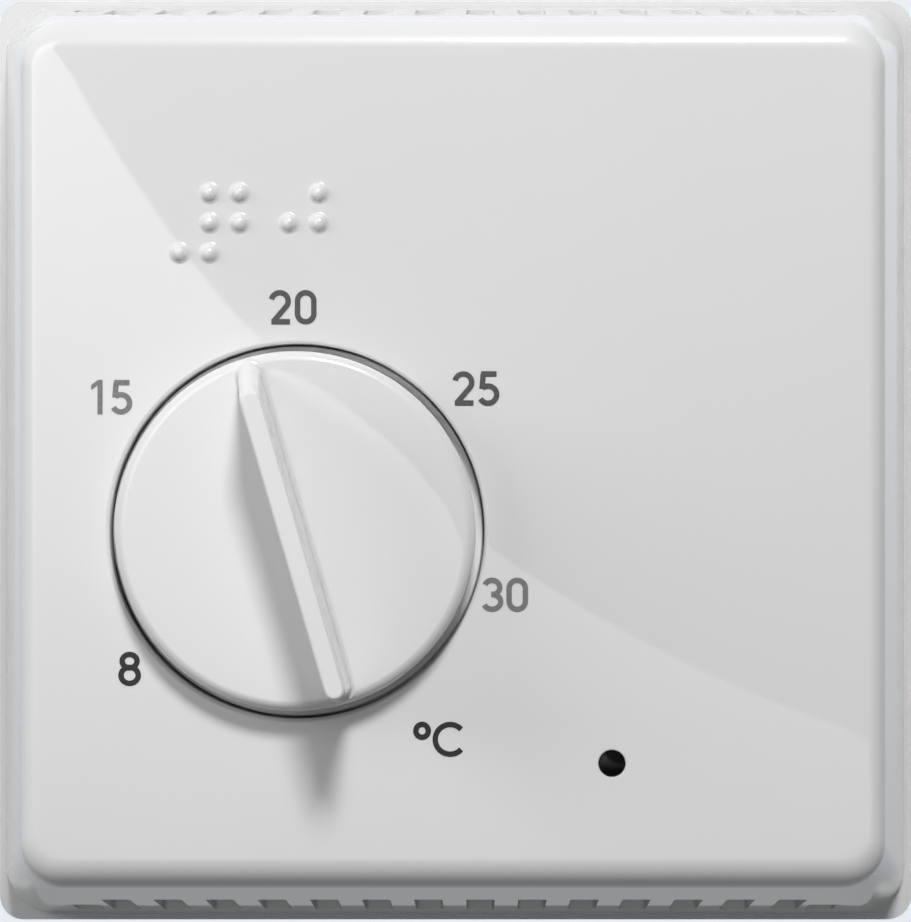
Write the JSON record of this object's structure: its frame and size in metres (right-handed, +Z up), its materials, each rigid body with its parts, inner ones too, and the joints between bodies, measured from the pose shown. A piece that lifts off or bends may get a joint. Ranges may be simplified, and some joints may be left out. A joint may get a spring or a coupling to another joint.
{
  "type": "wall thermostat",
  "caption": "Square room thermostat with a turning dial, a raised grip, air slots and a screw-on back plate; a gas capsule works a snap switch inside.",
  "frame": {"origin": "centre of the back plate's rear face, which lies on the wall", "axes": "+X to the viewer's right, +Y into the wall, +Z up; the dial faces -Y"},
  "size_m": [0.0838, 0.039, 0.0844],
  "materials": {
    "cover_plastic": "moulded, smooth semi-gloss",
    "dial_plastic": "moulded, smooth semi-gloss",
    "base_plastic": "moulded, semi-gloss",
    "lens_black": "dark polished lens",
    "pin_red": "moulded",
    "zinc_steel": "zinc plated",
    "screw_steel": "zinc plated, turned",
    "spring_steel": "tempered, dark",
    "capsule_steel": "rolled stainless",
    "brass": "turned",
    "bronze": "rolled strip",
    "copper": "drawn tube",
    "switch_brown": "phenolic moulding",
    "button_black": "moulded",
    "block_grey": "moulded",
    "board_green": "glass fibre laminate with lacquer",
    "lamp_glass": "blown glass",
    "resistor_tan": "lacquered body with colour bands",
    "resistor_blue": "lacquered body"
  },
  "bodies": {
    "case": {"base_plate": "base_plastic", "front_cover": "cover_plastic", "cover_clips": "spring_steel", "indicator_lens": "lens_black", "limit_pins": "pin_red", "bridge": "zinc_steel", "bridge_screws": "screw_steel", "spindle_bush": "brass", "bush_nut": "brass", "lever_pin": "screw_steel", "switch_bracket": "zinc_steel", "bracket_screws": "screw_steel", "switch_case": "switch_brown", "switch_lid": "switch_brown", "switch_contacts": "brass", "switch_screws": "screw_steel", "terminal_block": "block_grey", "block_screws": "screw_steel", "terminal_cages": "brass", "terminal_screws": "screw_steel", "link_bars": "bronze", "circuit_board": "board_green", "board_screws": "screw_steel", "lamp": "lamp_glass", "lamp_resistor": "resistor_tan", "heater_resistor": "resistor_blue"},
    "dial_set": {"dial": "dial_plastic", "spindle": "brass", "spindle_clip": "spring_steel"},
    "capsule": {"capsule_front": "capsule_steel", "capsule_back": "capsule_steel", "capsule_stud": "brass", "key_plate": "zinc_steel", "filling_tube": "copper"},
    "plunger": {"capsule_plunger": "capsule_steel"},
    "lever": {"switch_lever": "zinc_steel", "calibration_screw": "screw_steel", "lever_spring": "spring_steel"},
    "button": {"switch_button": "button_black"},
    "blade": {"snap_blade": "bronze"}
  },
  "joints": [
    {"name": "dial_turn", "type": "hinge", "parent": "case", "child": "dial_set", "pos_m": [-0.013, -0.028, -0.0065], "axis": [0, -1, 0], "range_deg": [-125, 113]},
    {"name": "capsule_shift", "type": "slide", "parent": "case", "child": "capsule", "axis": [0, 1, 0], "range_m": [-0.00017361, 0.00015694]},
    {"name": "capsule_breathe", "type": "slide", "parent": "capsule", "child": "plunger", "axis": [0, 1, 0], "range_m": [0, 0.0006], "stiffness_N_per_m": 500},
    {"name": "lever_tilt", "type": "hinge", "parent": "case", "child": "lever", "pos_m": [-0.013, -0.0062, 0.005], "axis": [1, 0, 0], "range_deg": [0, 3]},
    {"name": "button_press", "type": "slide", "parent": "case", "child": "button", "axis": [0, -1, 0], "range_m": [0, 0.00063]},
    {"name": "blade_snap", "type": "hinge", "parent": "case", "child": "blade", "pos_m": [-0.0132, -0.01135, 0.023], "axis": [-1, 0, 0], "range_deg": [0, 6]}
  ],
  "couplings": [
    {"joint": "dial_turn", "follows": "capsule_shift", "rad_per_m": 12566},
    {"joint": "lever_tilt", "follows": "capsule_breathe", "rad_per_m": 86.957},
    {"joint": "button_press", "follows": "capsule_breathe", "ratio": 1.0435},
    {"joint": "blade_snap", "follows": "capsule_breathe", "rad_per_m": 173.91}
  ]
}
